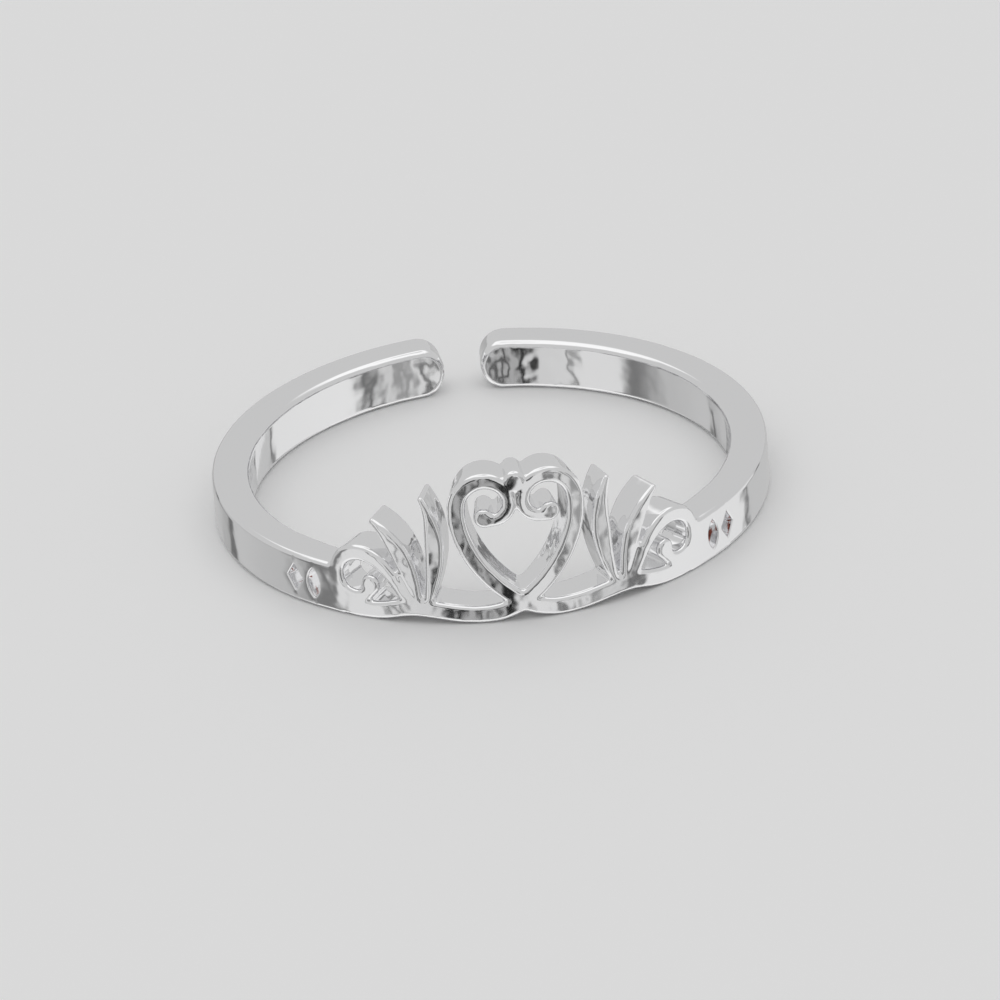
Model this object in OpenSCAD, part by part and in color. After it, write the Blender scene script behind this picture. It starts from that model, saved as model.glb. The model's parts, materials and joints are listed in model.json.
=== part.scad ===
// Open silver ring: a flat strip whose front is pierced into a scrolled heart, bent round the finger.
// The finger's axis is +Z, the openwork faces -Y and the opening is at +Y.
// The origin lies on the finger's axis, at half the height of the band.

/* [Finger] */
// Inside diameter, 17.3 for a US size 7
inner_d = 17.3; // [16:0.1:21]

/* [Band] */
// Height of the band along the finger
band_h = 1.9; // [1.8:0.05:2.2]
// Thickness of the silver, from inside to outside
wall = 1.35; // [1.2:0.05:1.6]
// Radius of the polished long edges
edge_r = 0.18; // [0.1:0.02:0.26]
// Opening between the free ends, at the outside
gap_w = 1.5; // [0.8:0.05:2.5]

/* [Openwork] */
// Half the length of the openwork, along the outside
front_half = 6.95; // [6.85:0.05:7]
// Height of the openwork above the underside of the band
front_h = 5.9; // [5.4:0.1:6.4]
// How far the openwork lies below the faces of the band, inside and outside
lace_sunk = 0.04; // [0.02:0.01:0.08]
// Half the width of the stems where they leave the band
root_w = 0.45; // [0.38:0.01:0.5]
// Half the width of the stems along the underside
stem_w = 0.34; // [0.3:0.01:0.38]
// Half the width of the stems where they turn into the lobes of the heart
lobe_w = 0.33; // [0.28:0.01:0.36]
// Half the width of the volutes at their shoulder
volute_w = 0.31; // [0.27:0.01:0.34]
// Half the width of the leaves at their middle
leaf_w = 0.36; // [0.3:0.01:0.4]
// Half the width of a stem or volute where it ends
tail_w = 0.24; // [0.21:0.01:0.26]
// Radius of the round terminals inside the heart
bead_r = 0.36; // [0.32:0.01:0.4]
// Radius of the round terminals inside the volutes
eye_r = 0.36; // [0.32:0.01:0.4]
// Radius of the round finial between the lobes of the heart
finial_r = 0.42; // [0.38:0.01:0.46]

/* [Eyelets] */
// Height of the pointed oval eyelet
almond_h = 1.15; // [0.9:0.05:1.2]
// Width of the pointed oval eyelet
almond_w = 0.54; // [0.4:0.02:0.6]
// Height of the diamond eyelet
diamond_h = 1.05; // [0.8:0.05:1.1]
// Width of the diamond eyelet
diamond_w = 0.74; // [0.5:0.02:0.8]

/* [Hidden] */
$fn = 48;

inner_r = inner_d / 2;
outer_r = inner_r + wall;
mid_r = inner_r + wall / 2;
front_deg = turn(front_half);

// The free ends are rounded a little wider than a half circle, so that they meet the faces at an angle
tip_r = band_h * 0.53;
tip_centre_deg = 180 - asin(gap_w / 2 / outer_r) - turn(tip_r);
// How far a cutter reaches past the metal
beyond = 1;

// Length of one facet along a stroke of the openwork
facet = 0.24;
// Chamfer along the edges of a stroke
stroke_chamfer = 0.12;
// How far a stem runs on inside the band's end
buried = 0.5;
// How far the stems stay above the plane of the underside
clear = 0.02;
// Step between the faces of strokes that cross, so that they lap and never lie flush
lap = 0.012;

// The flat pattern has u along the strip from its middle, and z up from the underside of the band.
// Half of it is drawn, at +u, and the other half is its mirror image.
// A curl is a spiral: [centre, first radius, last radius, first angle, last angle].
heart_curl = [[-1, 4.6], 1.15, 0.5, 180, -120];
volute_curl = [[6.1, 1.48], 1.12, 0.5, 118, -175];

// A knot of a stroke: [place, heading, pull before it, pull after it, half width].
// A stem leaves the band, runs low along the strip, crosses the other stem and climbs to its lobe.
STEM = [
    [[front_half + buried, root_w + clear], 180, 0, 0.9, root_w],
    [[5.7, stem_w + clear], 180, 0.9, 0.8, stem_w],
    [[3.9, 0.6], 180, 0.7, 1.1, stem_w],
    [[0, 0.75], 148, 1.5, 1.3, stem_w],
    [curl_point(heart_curl, 0), curl_heading(heart_curl), 1.6, 0, lobe_w]
];

// A volute springs from the foot of the leaves and arches over the stem.
VOLUTE = [
    [[4.1, 0.6], 62, 0, 0.75, 0.2],
    [curl_point(volute_curl, 0), curl_heading(volute_curl), 0.75, 0, volute_w]
];

// A leaf: [foot, tilt away from upright, length, how far its back bows]
LEAVES = [
    [[3.5, 0.6], -5, 4.25, 0.36],
    [[3.8, 0.6], 21, 3.6, 0.32]
];
// Half the width of a leaf at its foot and at its tip
leaf_foot_w = 0.16;
leaf_tip_w = 0.12;

// Where a round terminal sits, as a share of its curl's length
bead_at = 0.97;
finial_place = [0, 5.45];
almond_u = front_half + 1.05;
diamond_u = front_half + 1.95;

// Angle around the finger for a length along the outside
function turn(u) = u / outer_r * 180 / PI;

// Where a point of the flat pattern lies once the strip is bent, at radius r
function bend(u, z, r) = [r * sin(turn(u)), -r * cos(turn(u)), z - band_h / 2];

function direction(angle) = [cos(angle), sin(angle)];

function facets(length) = max(4, round(length / facet));

function without_first(path) = [for (i = [1 : len(path) - 1]) path[i]];

// A path is a list of [u, z, half width]. This one is a cubic curve from a to d, pulled towards b and c.
function curve(a, b, c, d, wa, wd) =
    let (steps = facets(norm(d - a)))
        [
            for (i = [0 : steps])
                let (t = i / steps, s = 1 - t)
                    concat(
                        s ^ 3 * a + 3 * s ^ 2 * t * b + 3 * s * t ^ 2 * c + t ^ 3 * d,
                        [wa + (wd - wa) * t]
                    )
        ];

// The path through a list of knots
function through(knots) = [
    concat(knots[0][0], [knots[0][4]]),
    for (i = [1 : len(knots) - 1])
        let (p = knots[i - 1], q = knots[i])
            each without_first(
                curve(p[0], p[0] + p[3] * direction(p[1]), q[0] - q[2] * direction(q[1]), q[0], p[4], q[4])
            )
];

function curl_point(curl, t) =
    curl[0] + (curl[1] + (curl[2] - curl[1]) * t) * direction(curl[3] + (curl[4] - curl[3]) * t);

// Angle at which a curl sets out
function curl_heading(curl) =
    let (sweep = (curl[4] - curl[3]) * PI / 180)
        curl[3] + atan2(curl[1] * sweep, curl[2] - curl[1]);

function curl_path(curl, w) =
    let (steps = facets(abs(curl[4] - curl[3]) * PI / 180 * (curl[1] + curl[2]) / 2))
        [for (i = [0 : steps]) concat(curl_point(curl, i / steps), [w + (tail_w - w) * i / steps])];

// Half the width of a leaf at the share t of its length, widest at its middle
function leaf_width(t) =
    let (straight = leaf_foot_w + (leaf_tip_w - leaf_foot_w) * t)
        straight + (leaf_w - (leaf_foot_w + leaf_tip_w) / 2) * sin(180 * t) ^ 1.2;

// A solid pointed leaf, its tip turned outwards
function leaf_path(leaf) =
    let (
        foot = leaf[0],
        along = leaf[2] * direction(90 - leaf[1]),
        back = leaf[3] * direction(180 - leaf[1]),
        tip = foot + along - 0.8 * back
    )
        [
            for (p = curve(foot, foot + 0.4 * along + back, foot + 0.75 * along + back, tip, 0, 1))
                [p[0], p[1], leaf_width(p[2])]
        ];

// Direction across a path at its point i
function across(path, i) =
    let (
        a = path[max(i - 1, 0)],
        b = path[min(i + 1, len(path) - 1)],
        d = [b[0] - a[0], b[1] - a[1]]
    )
        [-d[1], d[0]] / norm(d);

// A stroke of the openwork along a path: bent, its edges chamfered and its faces sunk by the given depth
module stroke(path, sunk) {
    ro = outer_r - sunk;
    ri = inner_r + sunk;
    last = len(path) - 1;
    points = [
        for (i = [0 : last])
            let (
                p = path[i],
                n = across(path, i),
                w = p[2],
                c = min(stroke_chamfer, w * 0.4),
                section = [
                    [w, ri + c], [w, ro - c], [w - c, ro], [c - w, ro],
                    [-w, ro - c], [-w, ri + c], [c - w, ri], [w - c, ri]
                ]
            )
                for (corner = section)
                    bend(p[0] + corner[0] * n[0], p[1] + corner[0] * n[1], corner[1])
    ];
    walls = [
        for (i = [0 : last - 1], k = [0 : 7])
            let (a = 8 * i + k, b = 8 * i + (k + 1) % 8)
                each [[a, a + 8, b + 8], [a, b + 8, b]]
    ];
    first_cap = [for (k = [0 : 7]) k];
    last_cap = [for (k = [7 : -1 : 0]) 8 * last + k];
    polyhedron(points, concat(walls, [first_cap], [last_cap]));
}

// A round terminal through the thickness of the openwork
module bead(place, r, sunk) {
    rotate([0, 0, turn(place[0])])
        translate([0, -mid_r, place[1] - band_h / 2])
            rotate([90, 0, 0])
                cylinder(r = r, h = wall - 2 * sunk, center = true, $fn = 24);
}

// The openwork that grows from the band's end at +u
module openwork_half(sunk) {
    stroke(concat(through(STEM), without_first(curl_path(heart_curl, lobe_w))), sunk);
    bead(curl_point(heart_curl, bead_at), bead_r, sunk + lap);
    stroke(concat(through(VOLUTE), without_first(curl_path(volute_curl, volute_w))), sunk + 2 * lap);
    bead(curl_point(volute_curl, bead_at), eye_r, sunk + 3 * lap);
    for (i = [0 : len(LEAVES) - 1]) stroke(leaf_path(LEAVES[i]), sunk + (4 + i) * lap);
}

// Both halves, with the finial between them, brought to the height of the front
module openwork() {
    translate([0, 0, -band_h / 2])
        resize([0, 0, front_h])
            translate([0, 0, band_h / 2])
                union() {
                    openwork_half(lace_sunk);
                    mirror([1, 0, 0]) openwork_half(lace_sunk + lap);
                    bead(finial_place, finial_r, lace_sunk + 2 * lap);
                }
}

module band_section() {
    translate([mid_r, 0]) {
        square([wall - 2 * edge_r, band_h], center = true);
        square([wall, band_h - 2 * edge_r], center = true);
        for (x = [-1, 1], y = [-1, 1])
            translate([x * (wall / 2 - edge_r), y * (band_h / 2 - edge_r)])
                circle(r = edge_r);
    }
}

// What is taken off a free end to round it, drawn with the end's centre on +X
module tip_cutter() {
    difference() {
        translate([inner_r - beyond, 0, -band_h / 2 - beyond])
            cube([wall + 2 * beyond, tip_r + beyond, band_h + 2 * beyond]);
        rotate([0, 90, 0])
            cylinder(r = tip_r, h = outer_r + 2 * beyond);
    }
}

// Two arcs that meet in points above and below
module almond() {
    bulge_r = (almond_h ^ 2 + almond_w ^ 2) / (4 * almond_w);
    intersection() {
        translate([bulge_r - almond_w / 2, 0]) circle(r = bulge_r);
        translate([almond_w / 2 - bulge_r, 0]) circle(r = bulge_r);
    }
}

module diamond() {
    polygon([[diamond_w / 2, 0], [0, diamond_h / 2], [-diamond_w / 2, 0], [0, -diamond_h / 2]]);
}

// Pierces the wall with a flat shape, at a length u along the outside
module pierce(u) {
    rotate([0, 0, turn(u)])
        translate([0, -inner_r + beyond, 0])
            rotate([90, 0, 0])
                linear_extrude(wall + 2 * beyond)
                    children();
}

// The band from one end of the openwork to its free end
module band_half() {
    difference() {
        rotate([0, 0, front_deg - 90])
            rotate_extrude(angle = tip_centre_deg + turn(tip_r + beyond / 2) - front_deg)
                band_section();
        rotate([0, 0, tip_centre_deg - 90]) tip_cutter();
        pierce(almond_u) almond();
        pierce(diamond_u) diamond();
    }
}

module ring() {
    color("silver") {
        band_half();
        mirror([1, 0, 0]) band_half();
        openwork();
    }
}

ring();
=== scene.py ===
import json
import math

import bpy
import numpy as np
from mathutils import Matrix, Vector
from mathutils.geometry import delaunay_2d_cdt
from mathutils.kdtree import KDTree


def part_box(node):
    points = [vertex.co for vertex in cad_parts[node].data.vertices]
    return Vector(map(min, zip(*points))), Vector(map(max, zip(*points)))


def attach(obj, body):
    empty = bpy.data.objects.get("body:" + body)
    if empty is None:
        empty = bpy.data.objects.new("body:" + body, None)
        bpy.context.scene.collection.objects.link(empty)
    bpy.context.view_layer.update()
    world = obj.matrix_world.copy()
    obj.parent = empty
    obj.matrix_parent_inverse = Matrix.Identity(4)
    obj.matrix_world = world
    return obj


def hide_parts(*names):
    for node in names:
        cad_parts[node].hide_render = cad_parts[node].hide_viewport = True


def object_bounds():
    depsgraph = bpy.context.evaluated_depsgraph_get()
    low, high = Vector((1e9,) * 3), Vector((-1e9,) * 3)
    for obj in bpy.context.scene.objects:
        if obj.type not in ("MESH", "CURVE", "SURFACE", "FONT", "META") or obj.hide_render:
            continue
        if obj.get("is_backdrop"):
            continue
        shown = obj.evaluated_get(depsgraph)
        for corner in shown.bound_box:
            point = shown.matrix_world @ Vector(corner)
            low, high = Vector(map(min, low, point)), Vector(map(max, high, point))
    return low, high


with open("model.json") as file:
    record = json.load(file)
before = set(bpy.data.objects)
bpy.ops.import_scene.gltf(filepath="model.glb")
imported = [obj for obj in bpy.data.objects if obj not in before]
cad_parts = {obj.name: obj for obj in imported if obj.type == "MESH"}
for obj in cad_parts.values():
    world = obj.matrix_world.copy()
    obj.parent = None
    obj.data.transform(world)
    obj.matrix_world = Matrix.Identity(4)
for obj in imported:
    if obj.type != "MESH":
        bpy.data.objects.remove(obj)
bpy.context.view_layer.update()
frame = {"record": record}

# The camera stands a little to the left of the ring's front and looks down on it through a long lens.
# It leans, so that the ring's right side stands higher. The centre of the band's top is placed by its
# pixel in a square picture.
MM = 0.001
camera_azimuth = math.radians(-4.6)
camera_elevation = math.radians(26.7)
camera_lean = math.radians(4.86)
camera_distance = 0.45
nearest, farthest = 0.01, 10
film_width = 36
picture_size = 1000
picture_px_per_mm = 27.82
band_centre_px = (488.8, 449.2)
ring_low, ring_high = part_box("ring")
band_top = Vector((0, 0, -ring_low.z))

level = Vector((math.cos(camera_azimuth), math.sin(camera_azimuth), 0))
towards = Vector((
    math.sin(camera_azimuth) * math.cos(camera_elevation),
    -math.cos(camera_azimuth) * math.cos(camera_elevation),
    math.sin(camera_elevation),
))
upright = towards.cross(level)
right = level * math.cos(camera_lean) - upright * math.sin(camera_lean)
up = level * math.sin(camera_lean) + upright * math.cos(camera_lean)
picture_centre = (
    band_top
    + right * (picture_size / 2 - band_centre_px[0]) / picture_px_per_mm * MM
    - up * (picture_size / 2 - band_centre_px[1]) / picture_px_per_mm * MM
)
camera = bpy.data.objects.new("camera", bpy.data.cameras.new("camera"))
camera.matrix_world = (
    Matrix.Translation(picture_centre + towards * camera_distance)
    @ Matrix((right, up, towards)).transposed().to_4x4()
)
camera.data.sensor_width = film_width
camera.data.lens = film_width * camera_distance / (picture_size / picture_px_per_mm * MM)
camera.data.clip_start = nearest
camera.data.clip_end = farthest
bpy.context.scene.collection.objects.link(camera)
bpy.context.scene.camera = camera

# The ring starts as a flat strip of silver, cut and pierced to its pattern with a fine saw.
# u runs along the strip from its middle and z up from its lower edge. All sizes are in millimetres.
inner_r = frame["record"]["mounts"][0]["dims"]["r_mm"]
outer_r = ring_high.x / MM
band_h = -2 * ring_low.z / MM
strip_h = ring_high.z / MM + band_h / 2
gap_w = 1.5
front_half = 6.95
band_end = front_half - 0.2
root_w, stem_w, lobe_w, volute_w, leaf_w, tail_w = 0.45, 0.34, 0.33, 0.31, 0.36, 0.24
root_end = front_half + 0.1
root_swell = 0.02
bead_r, eye_r, finial_r = 0.36, 0.36, 0.42
bead_at = 0.97
finial_place = (0, 5.45)
almond_h, almond_w, almond_u = 1.15, 0.54, front_half + 1.05
diamond_h, diamond_w, diamond_u = 1.05, 0.74, front_half + 1.95
tip_r = band_h / 2
tip_u = outer_r * (math.pi - math.asin(gap_w / 2 / outer_r)) - tip_r

# A curl is a spiral: centre, first radius, last radius, first angle, last angle.
heart_curl = ((-1, 4.6), 1.15, 0.5, 180, -120)
volute_curl = ((6.1, 1.48), 1.12, 0.5, 118, -175)
# A leaf: foot, tilt away from upright, length, how far its back bows.
leaves = (
    ((3.5, 0.6), -5, 4.25, 0.36),
    ((3.8, 0.6), 21, 3.6, 0.32),
)
leaf_foot_w, leaf_tip_w = 0.16, 0.12
leaf_pulls, leaf_hook, leaf_fullness = (0.4, 0.75), 0.8, 1.2
# A web is silver left between strokes that run together, where the saw can't follow: u, z and half width.
webs = (
    ((4.08, 0.95, 0.2), (4.43, 1.76, 0.2)),
    ((5.9, 0.72, 0.2), (6.8, 0.82, 0.3)),
)


def direction(angle):
    return np.array([math.cos(math.radians(angle)), math.sin(math.radians(angle))])


def curve(a, b, c, d, first_w, last_w, steps=40):
    """Rows of u, z and half width along a cubic curve."""
    t = np.linspace(0, 1, steps + 1)[:, None]
    place = (1 - t) ** 3 * a + 3 * (1 - t) ** 2 * t * b + 3 * (1 - t) * t**2 * c + t**3 * d
    return np.hstack([place, first_w + (last_w - first_w) * t])


def through(knots):
    """The path through knots of place, heading, pull before, pull after and half width."""
    rows = []
    for (p, heading, _, pull, w), (q, next_heading, next_pull, _, next_w) in zip(knots, knots[1:]):
        start, end = np.array(p), np.array(q)
        rows.append(curve(
            start, start + pull * direction(heading),
            end - next_pull * direction(next_heading), end, w, next_w,
        ))
    return np.vstack(rows)


def curl_point(curl, t):
    centre, first_r, last_r, first_angle, last_angle = curl
    radius = first_r + (last_r - first_r) * t
    return np.array(centre) + radius * direction(first_angle + (last_angle - first_angle) * t)


def curl_heading(curl):
    _, first_r, last_r, first_angle, last_angle = curl
    return first_angle + math.degrees(
        math.atan2(first_r * math.radians(last_angle - first_angle), last_r - first_r)
    )


def curl_path(curl, first_w, steps=90):
    return np.array([
        [*curl_point(curl, t), first_w + (tail_w - first_w) * t]
        for t in np.linspace(0, 1, steps + 1)
    ])


def leaf_path(foot, tilt, length, bow):
    along = length * direction(90 - tilt)
    back = bow * direction(180 - tilt)
    base = np.array(foot)
    tip = base + along - leaf_hook * back
    first_pull, second_pull = (base + pull * along + back for pull in leaf_pulls)
    path = curve(base, first_pull, second_pull, tip, 0, 1, steps=80)
    t = path[:, 2]
    belly = np.clip(np.sin(np.pi * t), 0, None) ** leaf_fullness
    plain_w = leaf_foot_w + (leaf_tip_w - leaf_foot_w) * t
    path[:, 2] = plain_w + (leaf_w - (leaf_foot_w + leaf_tip_w) / 2) * belly
    return path


def bead_path(place, r, length=0.001):
    return np.array([[*place, r], [place[0], place[1] + length, r]])


stem = np.vstack([
    through((
        ((front_half + 0.5, root_w + root_swell), 180, 0, 0.9, root_w),
        ((5.7, stem_w + root_swell), 180, 0.9, 0.8, stem_w),
        ((3.9, 0.6), 180, 0.7, 1.1, stem_w),
        ((0, 0.75), 148, 1.5, 1.3, stem_w),
        (curl_point(heart_curl, 0), curl_heading(heart_curl), 1.6, 0, lobe_w),
    )),
    curl_path(heart_curl, lobe_w),
])
stem = stem[stem[:, 0] < root_end]
volute = np.vstack([
    through((
        ((4.1, 0.6), 62, 0, 0.75, 0.2),
        (curl_point(volute_curl, 0), curl_heading(volute_curl), 0.75, 0, volute_w),
    )),
    curl_path(volute_curl, volute_w),
])
half_strokes = [
    stem,
    volute,
    *(leaf_path(*leaf) for leaf in leaves),
    bead_path(curl_point(heart_curl, bead_at), bead_r),
    bead_path(curl_point(volute_curl, bead_at), eye_r),
    *(np.array(web) for web in webs),
]
strokes = [path * (side, 1, 1) for side in (1, -1) for path in half_strokes]
strokes.append(bead_path(finial_place, finial_r))

# The saw's corners are filed round, and the strokes' faces are buffed to a low crown. The edges inside
# the band are a little rounder, for comfort. Depth is how far a place lies in the silver, and places
# far from it read as outside.
fillet, ridge = 0.13, 0.15
stroke_edge, band_edge, eyelet_edge = 0.16, 0.2, 0.06
comfort = 0.05
outside = -0.4
plain_start, plain_end = diamond_u + diamond_w, tip_u - 0.2
tiny = 1e-9


def fuse(a, b, size):
    blend = np.clip(size - np.abs(a - b), 0, None)
    return np.maximum(a, b) + blend * blend / (4 * size)


def stroke_depth(place, path, batch=4000):
    """How deep places lie in a stroke, with a soft ridge along its middle; negative outside."""
    depth = np.full(len(place), outside)
    reach = path[:, 2].max() - outside
    low, high = path[:, :2].min(0) - reach, path[:, :2].max(0) + reach
    near = np.flatnonzero(((place > low) & (place < high)).all(1))
    start, run = path[:-1, :2], np.diff(path[:, :2], axis=0)
    widths, change = path[:-1, 2], np.diff(path[:, 2])
    for part in np.array_split(near, len(near) // batch + 1):
        offset = place[part][:, None] - start
        share = np.clip((offset * run).sum(2) / np.maximum((run**2).sum(1), tiny), 0, 1)
        away = np.linalg.norm(offset - share[..., None] * run, axis=2)
        half = widths + share * change
        depth[part] = (np.hypot(half, ridge) - np.hypot(away, ridge)).max(1)
    return np.maximum(depth, outside)


def eyelet_depth(place):
    """How deep places lie in the eyelets; negative in the silver."""
    across = np.abs(place[:, 0])
    up_from_middle = place[:, 1] - band_h / 2
    bulge_r = (almond_h**2 + almond_w**2) / (4 * almond_w)
    almond = bulge_r - np.hypot(np.abs(across - almond_u) + bulge_r - almond_w / 2, up_from_middle)
    half_w, half_h = diamond_w / 2, diamond_h / 2
    diamond = 1 - np.abs(across - diamond_u) / half_w - np.abs(up_from_middle) / half_h
    return np.maximum(almond, diamond * half_w * half_h / math.hypot(half_w, half_h))


def drawn_depth(place):
    """How deep places of the strip lie in its silver; negative where it is cut away."""
    across = np.abs(place[:, 0])
    strip = band_h / 2 - np.abs(place[:, 1] - band_h / 2)
    end = tip_r - np.hypot(np.maximum(across - tip_u, 0), place[:, 1] - band_h / 2)
    depth = -fuse(-np.minimum(strip, end), band_end - across, fillet)
    for path in strokes:
        depth = fuse(depth, stroke_depth(place, path), fillet)
    return np.minimum(np.minimum(depth, place[:, 1]), -eyelet_depth(place))


# The drawing is read off on a fine net over the half at +u, and a smooth surface runs over the net.
# The net goes a few cells past the drawing on each side.
net_step = 0.04
cells_before, cells_after = (4, 10), (8, 12)
net_low = -net_step * np.array(cells_before)
net_count = (
    int((tip_u + tip_r - net_low[0]) / net_step) + cells_after[0],
    int((strip_h - net_low[1]) / net_step) + cells_after[1],
)


def grid(us, zs):
    return np.stack(np.meshgrid(us, zs, indexing="ij"), -1).reshape(-1, 2)


net_cells = grid(np.arange(net_count[0]), np.arange(net_count[1]))
net_depth = drawn_depth(net_low + net_step * net_cells).reshape(net_count)


def metal_depth(place):
    """Depth in the silver and its slope, from a cubic B-spline surface over the net."""
    spot = (np.column_stack([np.abs(place[:, 0]), place[:, 1]]) - net_low) / net_step
    last_cell = np.array(net_count) - 3
    spot = np.clip(spot, 1, last_cell - tiny)
    cell = spot.astype(int)
    f = spot - cell
    weight = np.stack([(1 - f) ** 3, 3 * f**3 - 6 * f**2 + 4, 3 * f * (1 + f - f**2) + 1, f**3]) / 6
    change = np.stack([-((1 - f) ** 2), 3 * f**2 - 4 * f, 1 + 2 * f - 3 * f**2, f**2]) / 2
    depth, side, rise = np.zeros((3, len(place)))
    for i in range(4):
        for j in range(4):
            sample = net_depth[cell[:, 0] + i - 1, cell[:, 1] + j - 1]
            depth += sample * weight[i, :, 0] * weight[j, :, 1]
            side += sample * change[i, :, 0] * weight[j, :, 1]
            rise += sample * weight[i, :, 0] * change[j, :, 1]
    return depth, np.column_stack([side * np.sign(place[:, 0]), rise]) / net_step


def settle(place, goal, rounds=4, longest_shift=0.08, gentlest_slope=0.05):
    """Moves places up or down the slope until they lie at a depth."""
    for _ in range(rounds):
        depth, slope = metal_depth(place)
        shift = slope * ((goal - depth) / np.maximum((slope**2).sum(1), gentlest_slope))[:, None]
        length = np.linalg.norm(shift, axis=1)
        place = place + shift * np.minimum(1, longest_shift / np.maximum(length, tiny))[:, None]
    return place


def outlines(spacing=0.05, off_grid=(0.0137, 0.0071)):
    """The closed outlines of the silver, with the silver on their left, from a net of triangles."""
    reach, margin = tip_u + tip_r + 2 * spacing, 3 * spacing
    us = np.arange(-reach, reach, spacing) + off_grid[0]
    zs = np.arange(-margin, strip_h + margin, spacing) + off_grid[1]
    net = grid(us, zs)
    depth = metal_depth(net)[0]
    corner = (np.arange(len(us) - 1)[:, None] * len(zs) + np.arange(len(zs) - 1)).ravel()
    a, b, c, d = corner, corner + len(zs), corner + len(zs) + 1, corner + 1
    triangles = np.vstack([np.stack([a, b, c], 1), np.stack([a, c, d], 1)])
    inside = depth[triangles] > 0
    follows = {}
    for crossed, lone_in_silver in ((inside.sum(1) == 1, True), (inside.sum(1) == 2, False)):
        rows = triangles[crossed]
        lone = (inside[crossed] == lone_in_silver).argmax(1)
        tip, after, before = (rows[np.arange(len(rows)), (lone + turn) % 3] for turn in range(3))
        for t, p, q in zip(tip.tolist(), after.tolist(), before.tolist()):
            start, end = (min(t, p), max(t, p)), (min(t, q), max(t, q))
            if lone_in_silver:
                follows[start] = end
            else:
                follows[end] = start
    loops = []
    while follows:
        first, edge = follows.popitem()
        loop = [first]
        while edge != first:
            loop.append(edge)
            edge = follows.pop(edge)
        ends = np.array(loop)
        share = depth[ends[:, 0]] / (depth[ends[:, 0]] - depth[ends[:, 1]])
        loops.append(net[ends[:, 0]] + share[:, None] * (net[ends[:, 1]] - net[ends[:, 0]]))
    return loops


def even_steps(loop, shortest=0.02, longest=0.07, longest_plain=0.12, turn_in_step=0.13, probe=0.03):
    """The same outline in steps that are short where it turns and long along the plain band."""
    closed = np.vstack([loop, loop[:1]])
    lengths = np.linalg.norm(np.diff(closed, axis=0), axis=1)
    middles = (closed[1:] + closed[:-1]) / 2
    facing = metal_depth(middles)[1]
    forward = np.column_stack([facing[:, 1], -facing[:, 0]]) * probe
    swing = np.linalg.norm(metal_depth(middles + forward)[1] - metal_depth(middles - forward)[1], axis=1)
    bend_r = 2 * probe / np.maximum(swing, tiny)
    across = np.abs(middles[:, 0])
    plain = (across > plain_start) & (across < plain_end)
    steps = np.clip(turn_in_step * bend_r, shortest, np.where(plain, longest_plain, longest))
    travelled = np.concatenate([[0], np.cumsum(lengths / steps)])
    count = round(travelled[-1])
    stops = np.arange(count) / count * travelled[-1]
    return np.stack([np.interp(stops, travelled, closed[:, k]) for k in (0, 1)], 1)


def soft_step(value, start, length):
    share = np.clip((value - start) / length, 0, 1)
    return share * share * (3 - 2 * share)


def edge_size(place, extra=0):
    """Radius of the rounding along the edges, smaller at the eyelets, with an extra on the plain band."""
    across = np.abs(place[:, 0])
    size = stroke_edge + (band_edge - stroke_edge) * soft_step(across, front_half - 0.6, length=1.2)
    size = eyelet_edge + (size - eyelet_edge) * soft_step(-eyelet_depth(place), 0, length=0.3)
    return size + extra * soft_step(across, plain_start, length=0.5)


# Each ring of the face's net lies at an angle round its edge, from 0 at the rim to 90 on the flat.
# The last three follow the rounder edge inside the band, one of them just past it.
ring_angles = (
    (22.5, 0), (45, 0), (67.5, 0), (90, 0),
    (75, comfort), (90, comfort), (105, comfort),
)
fine_step, fill_step, closest = 0.05, 0.2, 0.03
off_ring, off_rim, off_edge = 0.004, 0.002, 0.04
same_way = 0.1
merge_distance = 1e-6


def face_net():
    """Places on the strip's face and its triangles: rings inside the outline, ridges and a loose fill."""
    rim = [settle(even_steps(settle(loop, 0)), 0) for loop in outlines()]
    rim_place = np.vstack(rim)
    rings, ring = [], rim_place
    heading = metal_depth(rim_place)[1]
    for angle, extra in ring_angles:
        goal = edge_size(rim_place, extra) * (1 - math.cos(math.radians(angle)))
        ring = settle(ring, goal)
        depth, slope = metal_depth(ring)
        rings.append(ring[(np.abs(depth - goal) < off_ring) & ((slope * heading).sum(1) > same_way)])
    ridges = [path[::2, :2] for path in strokes]
    fine = grid(np.arange(-front_half, front_half, fine_step), np.arange(0, strip_h, fine_step))
    fine = fine[metal_depth(fine)[0] < stroke_edge]
    fill = grid(np.arange(-tip_u - tip_r, tip_u + tip_r, fill_step), np.arange(fine_step, band_h, fill_step))
    fill = fill[metal_depth(fill)[0] > band_edge + comfort + off_edge]
    spread = np.vstack([*rings, *ridges, fine, fill])
    spread = spread[metal_depth(spread)[0] > off_ring]
    everything = np.vstack([rim_place, spread])
    tree = KDTree(len(everything))
    for i, spot in enumerate(everything):
        tree.insert((*spot, 0), i)
    tree.balance()
    kept, dropped = list(range(len(rim_place))), set()
    for i in range(len(rim_place), len(everything)):
        if i not in dropped:
            kept.append(i)
            dropped.update(j for _, j, _ in tree.find_range((*everything[i], 0), closest) if j > i)
    everything = everything[kept]
    edges, start = [], 0
    for loop in rim:
        count = len(loop)
        edges += [(start + i, start + (i + 1) % count) for i in range(count)]
        start += count
    made = delaunay_2d_cdt([Vector(spot) for spot in everything], edges, [], 1, merge_distance)
    place = np.array([tuple(spot) for spot in made[0]])
    triangles = np.array(made[2])
    deep = (metal_depth(place)[0][triangles] > off_rim).any(1)
    middle = metal_depth(place[triangles].mean(1))[0] > 0
    return place, triangles[deep | middle]


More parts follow.
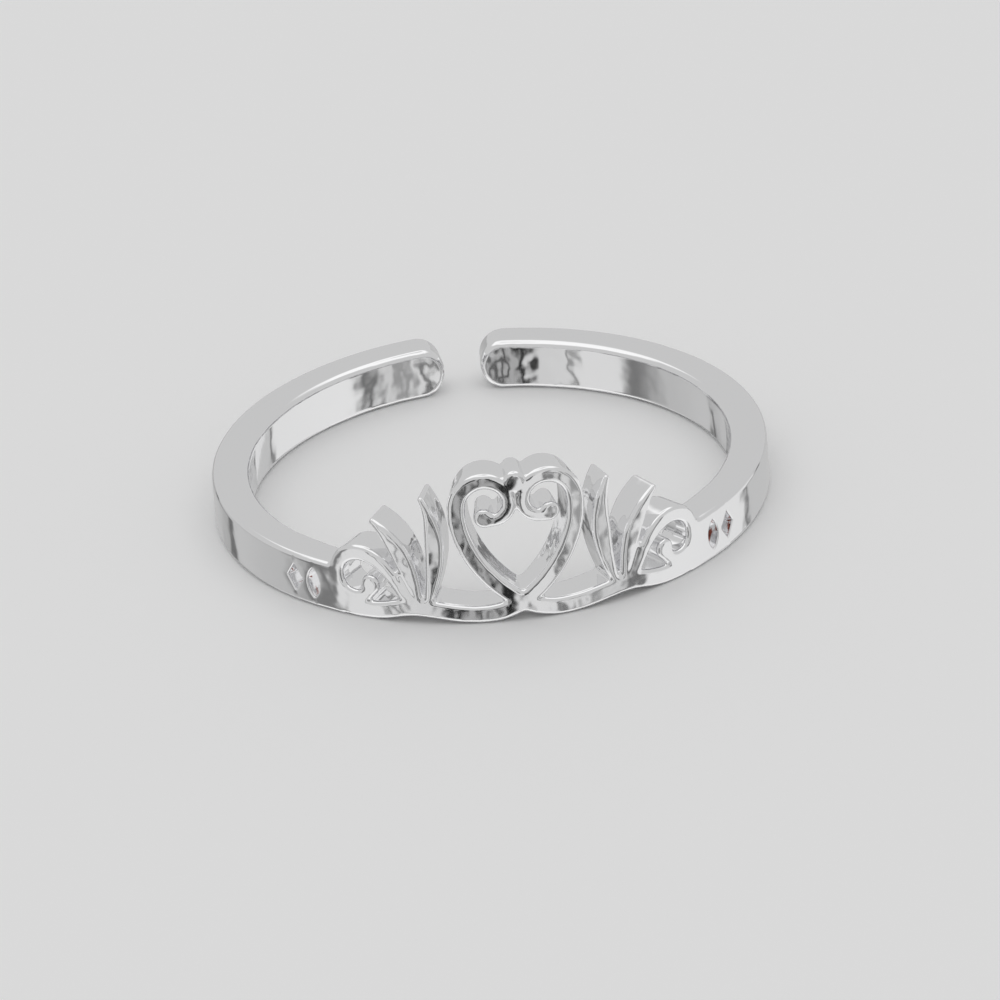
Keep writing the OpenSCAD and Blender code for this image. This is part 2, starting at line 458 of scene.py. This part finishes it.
# The blank has an outer and an inner face with rounded edges, and walls between them along the rim.
place, face = face_net()
edges = [edge for a, b, c in face.tolist() for edge in ((a, b), (b, c), (c, a))]
known_edges = set(edges)
rim_edges = np.array([(a, b) for a, b in edges if (b, a) not in known_edges])
on_rim = np.zeros(len(place), bool)
on_rim[rim_edges.ravel()] = True
depth, slope = metal_depth(place)
depth = np.where(on_rim, 0, np.maximum(depth, 0))


def rounded(size):
    """How far the rounded edges lie below a face, and the two parts of their normals."""
    into = np.clip(size - depth, 0, None)
    rise = np.sqrt(np.clip(size**2 - into**2, 0, None))
    return size - rise, -slope * into[:, None], rise


outer_sunk, outer_fall, outer_rise = rounded(edge_size(place))
inner_sunk, inner_fall, inner_rise = rounded(edge_size(place, comfort))
count = len(place)
rim_list = np.unique(rim_edges)
rim_index = np.full(count, -1)
rim_index[rim_list] = np.arange(len(rim_list))

outer_face = np.column_stack([place[:, 0], outer_sunk - outer_r, place[:, 1] - band_h / 2])
inner_face = np.column_stack([place[:, 0], -inner_sunk - inner_r, place[:, 1] - band_h / 2])
outer_normal = np.column_stack([outer_fall[:, 0], -outer_rise, outer_fall[:, 1]])
inner_normal = np.column_stack([inner_fall[:, 0], inner_rise, inner_fall[:, 1]])
middle_wall = (outer_face[rim_list] + inner_face[rim_list]) / 2
middle_normal = outer_normal[rim_list] * (1, 0, 1)
points = np.vstack([outer_face, inner_face, middle_wall])
normals = np.vstack([outer_normal, inner_normal, middle_normal])
a, b = rim_edges.T
middle_a, middle_b = 2 * count + rim_index[a], 2 * count + rim_index[b]
walls = np.vstack([
    np.column_stack([a, middle_a, middle_b, b]),
    np.column_stack([middle_a, count + a, count + b, middle_b]),
])
faces = face.tolist() + (face[:, ::-1] + count).tolist() + walls.tolist()

eyelet_rim = 0.02
blank = bpy.data.meshes.new("pierced_strip")
blank.from_pydata((points * MM).tolist(), [], faces)
flat_map = blank.uv_layers.new(name="Strip")
loop_points = np.empty(len(blank.loops), np.int32)
blank.loops.foreach_get("vertex_index", loop_points)
flat_map.data.foreach_set("uv", points[loop_points][:, (0, 2)].astype(np.float32).ravel())
unbuffed = np.zeros(len(points), np.float32)
unbuffed[2 * count:] = eyelet_depth(place[rim_list]) > -eyelet_rim
blank.attributes.new("Unbuffed", "FLOAT", "POINT").data.foreach_set("value", unbuffed)
ring = bpy.data.objects.new("silver_ring", blank)
bpy.context.scene.collection.objects.link(ring)

# Polished sterling silver, very bright and a little wavy where the wheel went over it: more so on the
# openwork and at the free ends, less on the flat filed edges. Fine hair lines run along the band, and red
# fire stain is left in the eyelets, where the buff doesn't reach.
silver_colour, stain_colour = (0.93, 0.93, 0.935, 1), (0.42, 0.13, 0.09, 1)
wave_size, wave_lift = 1.3 * MM, 0.035 * MM
ripple_size, ripple_lift, openwork_ripple, end_ripple = 0.6 * MM, 0.01 * MM, 2.5, 3
openwork_zone, end_zone = (front_half - 0.5, front_half + 3), (tip_u - 4, tip_u - 1)
filed_from, filed_full, filed_edge_share = 0.5, 0.9, 0.3
hair_length, hair_gap, hair_lift = 1.2, 0.012, 0.0002 * MM
stain_size, stain_from, stain_full, stain_dullness = 0.35 * MM, 0.52, 0.58, 0.3
smoothest, dullest = 0.02, 0.08


def add_node(tree, kind, values=None, **settings):
    """A new node with its settings, and its sockets filled with values or joined to other sockets."""
    node = tree.nodes.new(kind)
    for name, value in settings.items():
        setattr(node, name, value)
    for name, value in (values or {}).items():
        if isinstance(value, bpy.types.NodeSocket):
            tree.links.new(value, node.inputs[name])
        else:
            node.inputs[name].default_value = value
    return node


silver = bpy.data.materials.new("polished_silver")
silver.use_nodes = True
tree = silver.node_tree
shader = tree.nodes["Principled BSDF"]
shader.inputs["Metallic"].default_value = 1
where = add_node(tree, "ShaderNodeTexCoord")
waves = add_node(tree, "ShaderNodeTexNoise", {
    "Vector": where.outputs["Object"], "Scale": 1 / wave_size, "Detail": 1.0, "Roughness": 0.4,
})
surface = add_node(tree, "ShaderNodeNewGeometry")
facing = add_node(tree, "ShaderNodeSeparateXYZ", {0: surface.outputs["Normal"]})
up_or_down = add_node(tree, "ShaderNodeMath", {0: facing.outputs["Z"]}, operation="ABSOLUTE")
waviness = add_node(tree, "ShaderNodeMapRange", {
    "Value": up_or_down.outputs[0], "From Min": filed_from, "From Max": filed_full,
    "To Min": 1.0, "To Max": filed_edge_share,
})
wave_bump = add_node(tree, "ShaderNodeBump", {
    "Strength": waviness.outputs["Result"], "Height": waves.outputs["Fac"],
    "Distance": wave_lift,
})
along_strip = add_node(tree, "ShaderNodeSeparateXYZ", {0: where.outputs["UV"]})
from_middle = add_node(tree, "ShaderNodeMath", {0: along_strip.outputs["X"]}, operation="ABSOLUTE")
near_openwork = add_node(tree, "ShaderNodeMapRange", {
    "Value": from_middle.outputs[0], "From Min": openwork_zone[0], "From Max": openwork_zone[1],
    "To Min": 1 + openwork_ripple, "To Max": 1.0,
})
near_ends = add_node(tree, "ShaderNodeMapRange", {
    "Value": from_middle.outputs[0], "From Min": end_zone[0], "From Max": end_zone[1],
    "To Min": 1.0, "To Max": 1 + end_ripple,
})
more = add_node(tree, "ShaderNodeMath", {
    0: near_openwork.outputs["Result"], 1: near_ends.outputs["Result"],
}, operation="MAXIMUM")
ripples = add_node(tree, "ShaderNodeTexNoise", {
    "Vector": where.outputs["Object"], "Scale": 1 / ripple_size, "Detail": 1.0, "Roughness": 0.3,
})
ripple_height = add_node(
    tree, "ShaderNodeMath", {0: ripples.outputs["Fac"], 1: more.outputs[0]}, operation="MULTIPLY",
)
ripple_bump = add_node(tree, "ShaderNodeBump", {
    "Strength": waviness.outputs["Result"], "Height": ripple_height.outputs[0],
    "Distance": ripple_lift, "Normal": wave_bump.outputs["Normal"],
})
hair_map = add_node(tree, "ShaderNodeMapping", {
    "Vector": where.outputs["UV"], "Scale": (1 / hair_length, 1 / hair_gap, 1),
})
hairs = add_node(tree, "ShaderNodeTexNoise", {
    "Vector": hair_map.outputs["Vector"], "Scale": 1.0, "Detail": 2.0, "Roughness": 0.6,
})
hair_bump = add_node(tree, "ShaderNodeBump", {
    "Height": hairs.outputs["Fac"], "Distance": hair_lift, "Normal": ripple_bump.outputs["Normal"],
})
unbuffed = add_node(tree, "ShaderNodeAttribute", attribute_name="Unbuffed")
spots = add_node(tree, "ShaderNodeTexNoise", {
    "Vector": where.outputs["Object"], "Scale": 1 / stain_size, "Detail": 2.0,
})
patchy = add_node(
    tree, "ShaderNodeMath", {0: unbuffed.outputs["Fac"], 1: spots.outputs["Fac"]}, operation="MULTIPLY",
)
stained = add_node(tree, "ShaderNodeMapRange", {
    "Value": patchy.outputs[0], "From Min": stain_from, "From Max": stain_full,
    "To Min": 0.0, "To Max": 1.0,
})
colour = add_node(tree, "ShaderNodeMix", {
    0: stained.outputs["Result"], 6: silver_colour, 7: stain_colour,
}, data_type="RGBA")
polish = add_node(tree, "ShaderNodeMapRange", {
    "Value": waves.outputs["Fac"], "From Min": 0.3, "From Max": 0.7,
    "To Min": smoothest, "To Max": dullest,
})
dulled = add_node(tree, "ShaderNodeMath", {
    0: stained.outputs["Result"], 1: stain_dullness, 2: polish.outputs["Result"],
}, operation="MULTIPLY_ADD")
tree.links.new(colour.outputs[2], shader.inputs["Base Color"])
tree.links.new(dulled.outputs[0], shader.inputs["Roughness"])
tree.links.new(hair_bump.outputs["Normal"], shader.inputs["Normal"])

# The pierced strip is bent round a steel mandrel of the finger's size, with its face outwards. The outer
# face keeps the lengths of the flat strip, and the inner face is squeezed.
bend = bpy.data.node_groups.new("bend_round_mandrel", "GeometryNodeTree")
sockets = bend.interface
sockets.new_socket("Strip", in_out="INPUT", socket_type="NodeSocketGeometry")
radius_socket = sockets.new_socket("Outer radius", in_out="INPUT", socket_type="NodeSocketFloat")
finish_socket = sockets.new_socket("Finish", in_out="INPUT", socket_type="NodeSocketMaterial")
sockets.new_socket("Ring", in_out="OUTPUT", socket_type="NodeSocketGeometry")

given = add_node(bend, "NodeGroupInput")
position = add_node(bend, "GeometryNodeInputPosition")
flat = add_node(bend, "ShaderNodeSeparateXYZ", {0: position.outputs[0]})
angle = add_node(
    bend, "ShaderNodeMath", {0: flat.outputs["X"], 1: given.outputs["Outer radius"]}, operation="DIVIDE",
)
sine = add_node(bend, "ShaderNodeMath", {0: angle.outputs[0]}, operation="SINE")
cosine = add_node(bend, "ShaderNodeMath", {0: angle.outputs[0]}, operation="COSINE")
radius = add_node(bend, "ShaderNodeMath", {0: flat.outputs["Y"], 1: -1.0}, operation="MULTIPLY")
across = add_node(bend, "ShaderNodeMath", {0: radius.outputs[0], 1: sine.outputs[0]}, operation="MULTIPLY")
back = add_node(bend, "ShaderNodeMath", {0: flat.outputs["Y"], 1: cosine.outputs[0]}, operation="MULTIPLY")
bent = add_node(bend, "ShaderNodeCombineXYZ", {
    "X": across.outputs[0], "Y": back.outputs[0], "Z": flat.outputs["Z"],
})
move = add_node(bend, "GeometryNodeSetPosition", {
    "Geometry": given.outputs["Strip"], "Position": bent.outputs[0],
})
realize = add_node(bend, "GeometryNodeRealizeInstances", {"Geometry": move.outputs[0]})
paint = add_node(bend, "GeometryNodeSetMaterial", {
    "Geometry": realize.outputs[0], "Material": given.outputs["Finish"],
})
add_node(bend, "NodeGroupOutput", {"Ring": paint.outputs[0]})

bending = ring.modifiers.new("bend", "NODES")
bending.node_group = bend
bending[radius_socket.identifier] = outer_r * MM
bending[finish_socket.identifier] = silver
bent_mesh = bpy.data.meshes.new_from_object(ring.evaluated_get(bpy.context.evaluated_depsgraph_get()))
ring.modifiers.clear()
ring.data = bent_mesh
ring.data.name = "silver_ring"

# The normals of the rounded edges follow their true form, bent with the strip.
turn = points[:, 0] / outer_r
stretch = outer_r / -points[:, 1]
along, out, high = normals[:, 0] * stretch, -normals[:, 1], normals[:, 2]
world_normals = np.column_stack([
    along * np.cos(turn) + out * np.sin(turn),
    along * np.sin(turn) - out * np.cos(turn),
    high,
])
world_normals /= np.maximum(np.linalg.norm(world_normals, axis=1, keepdims=True), tiny)
ring.data.shade_smooth()
ring.data.normals_split_custom_set_from_vertices(world_normals.tolist())

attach(ring, "root")
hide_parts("ring")

# A plain pale sheet lies under the ring. It looks matt, and is glossy only where the silver reflects it,
# so that the walls of the ring show the studio round them.
floor_half = 1.5
sheet_grey, sheet_roughness = 0.92, 0.7
gloss_grey, gloss_roughness = 0.9, 0.12
floor_mesh = bpy.data.meshes.new("floor")
floor_mesh.from_pydata(
    [(x * floor_half, y * floor_half, ring_low.z) for x, y in ((-1, -1), (1, -1), (1, 1), (-1, 1))],
    [], [(0, 1, 2, 3)],
)
floor = bpy.data.objects.new("floor", floor_mesh)
bpy.context.scene.collection.objects.link(floor)
sheet = bpy.data.materials.new("pale_sheet")
sheet.use_nodes = True
tree = sheet.node_tree
matt = tree.nodes["Principled BSDF"]
matt.inputs["Base Color"].default_value = (sheet_grey, sheet_grey, sheet_grey, 1)
matt.inputs["Roughness"].default_value = sheet_roughness
gloss = add_node(tree, "ShaderNodeBsdfGlossy", {
    "Color": (gloss_grey, gloss_grey, gloss_grey, 1), "Roughness": gloss_roughness,
})
ray = add_node(tree, "ShaderNodeLightPath")
either = add_node(tree, "ShaderNodeMixShader", {0: ray.outputs["Is Glossy Ray"]})
tree.links.new(matt.outputs[0], either.inputs[1])
tree.links.new(gloss.outputs[0], either.inputs[2])
tree.links.new(either.outputs[0], tree.nodes["Material Output"].inputs["Surface"])
floor_mesh.materials.append(sheet)
floor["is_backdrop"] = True

# A pale tent stands round the table. Its roof is bright, and dark gaps between its side panels make the
# dark lines in the silver. They show where the silver reflects the sheet or other silver, and elsewhere
# the sides look even. Bearings are in degrees from the ring's front, to the right.
world = bpy.data.worlds.new("tent")
bpy.context.scene.world = world
world.use_nodes = True
tree = world.node_tree
roof_light, zenith_light, side_light = 1.02, 0.6, 0.59
roof_from, roof_full, zenith_from, zenith_full = 0.66, 0.84, 0.9, 1.05
fold_scale, fold_size = 2.2, 0.35
one_reflection, longest_glossy_path = 1.5, 12
panels = (
    (-180, 0.59), (-151, 0.45), (-147, 0.1), (-143, 0.6), (-102, 0.54), (-80, 0.2), (-70, 0.8),
    (-48, 0.8), (-45, 0.1), (-42, 0.75), (-29, 0.7), (-27, 0.01), (-24, 0.01), (-21, 0.46),
    (-17, 0.44), (-14, 0.0), (-11, 0.46), (-7, 0.42), (-4, 0.01), (1, 0.01), (5, 0.8),
    (18, 0.8), (21, 0.05), (27, 0.8), (35, 0.32), (43, 0.7), (53, 0.14), (62, 0.88),
    (122, 0.85), (126, 0.12), (130, 0.6), (180, 0.59),
)
bpy.context.scene.view_settings.view_transform = "Standard"
bpy.context.scene.cycles.glossy_bounces = longest_glossy_path
direction_of = add_node(tree, "ShaderNodeTexCoord")
folds = add_node(tree, "ShaderNodeTexNoise", {
    "Vector": direction_of.outputs["Generated"], "Scale": fold_scale, "Detail": 1.0,
})
fold_shift = add_node(tree, "ShaderNodeVectorMath", {
    0: folds.outputs["Color"], 1: (0.5, 0.5, 0.5),
}, operation="SUBTRACT")
folded = add_node(tree, "ShaderNodeVectorMath", {
    0: fold_shift.outputs[0], 1: (fold_size, fold_size, fold_size), 2: direction_of.outputs["Generated"],
}, operation="MULTIPLY_ADD")
parts = add_node(tree, "ShaderNodeSeparateXYZ", {0: folded.outputs[0]})
front = add_node(tree, "ShaderNodeMath", {0: parts.outputs["Y"], 1: -1.0}, operation="MULTIPLY")
bearing = add_node(tree, "ShaderNodeMath", {0: parts.outputs["X"], 1: front.outputs[0]}, operation="ARCTAN2")
turn_share = add_node(tree, "ShaderNodeMapRange", {
    "Value": bearing.outputs[0], "From Min": -math.pi, "From Max": math.pi, "To Min": 0.0, "To Max": 1.0,
})
ramp = add_node(tree, "ShaderNodeValToRGB", {"Fac": turn_share.outputs["Result"]})
ramp.color_ramp.interpolation = "EASE"
while len(ramp.color_ramp.elements) < len(panels):
    ramp.color_ramp.elements.new(0.5)
for stop, (degrees, light) in zip(ramp.color_ramp.elements, panels):
    stop.position = degrees / 360 + 0.5
    stop.color = (light, light, light, 1)
height = add_node(tree, "ShaderNodeMapRange", {
    "Value": parts.outputs["Z"], "From Min": roof_from, "From Max": roof_full,
    "To Min": 0.0, "To Max": 1.0,
}, interpolation_type="SMOOTHSTEP")
overhead = add_node(tree, "ShaderNodeMapRange", {
    "Value": parts.outputs["Z"], "From Min": zenith_from, "From Max": zenith_full,
    "To Min": roof_light, "To Max": zenith_light,
}, interpolation_type="SMOOTHSTEP")
ray_so_far = add_node(tree, "ShaderNodeLightPath")
reflected_again = add_node(tree, "ShaderNodeMath", {
    0: ray_so_far.outputs["Glossy Depth"], 1: one_reflection,
}, operation="GREATER_THAN")
sides = add_node(tree, "ShaderNodeMix", {
    0: reflected_again.outputs[0], 6: (side_light, side_light, side_light, 1), 7: ramp.outputs["Color"],
}, data_type="RGBA")
tent = add_node(tree, "ShaderNodeMix", {
    0: height.outputs["Result"], 6: sides.outputs[2], 7: overhead.outputs["Result"],
}, data_type="RGBA")
tree.links.new(tent.outputs[2], tree.nodes["Background"].inputs["Color"])

low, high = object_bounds()
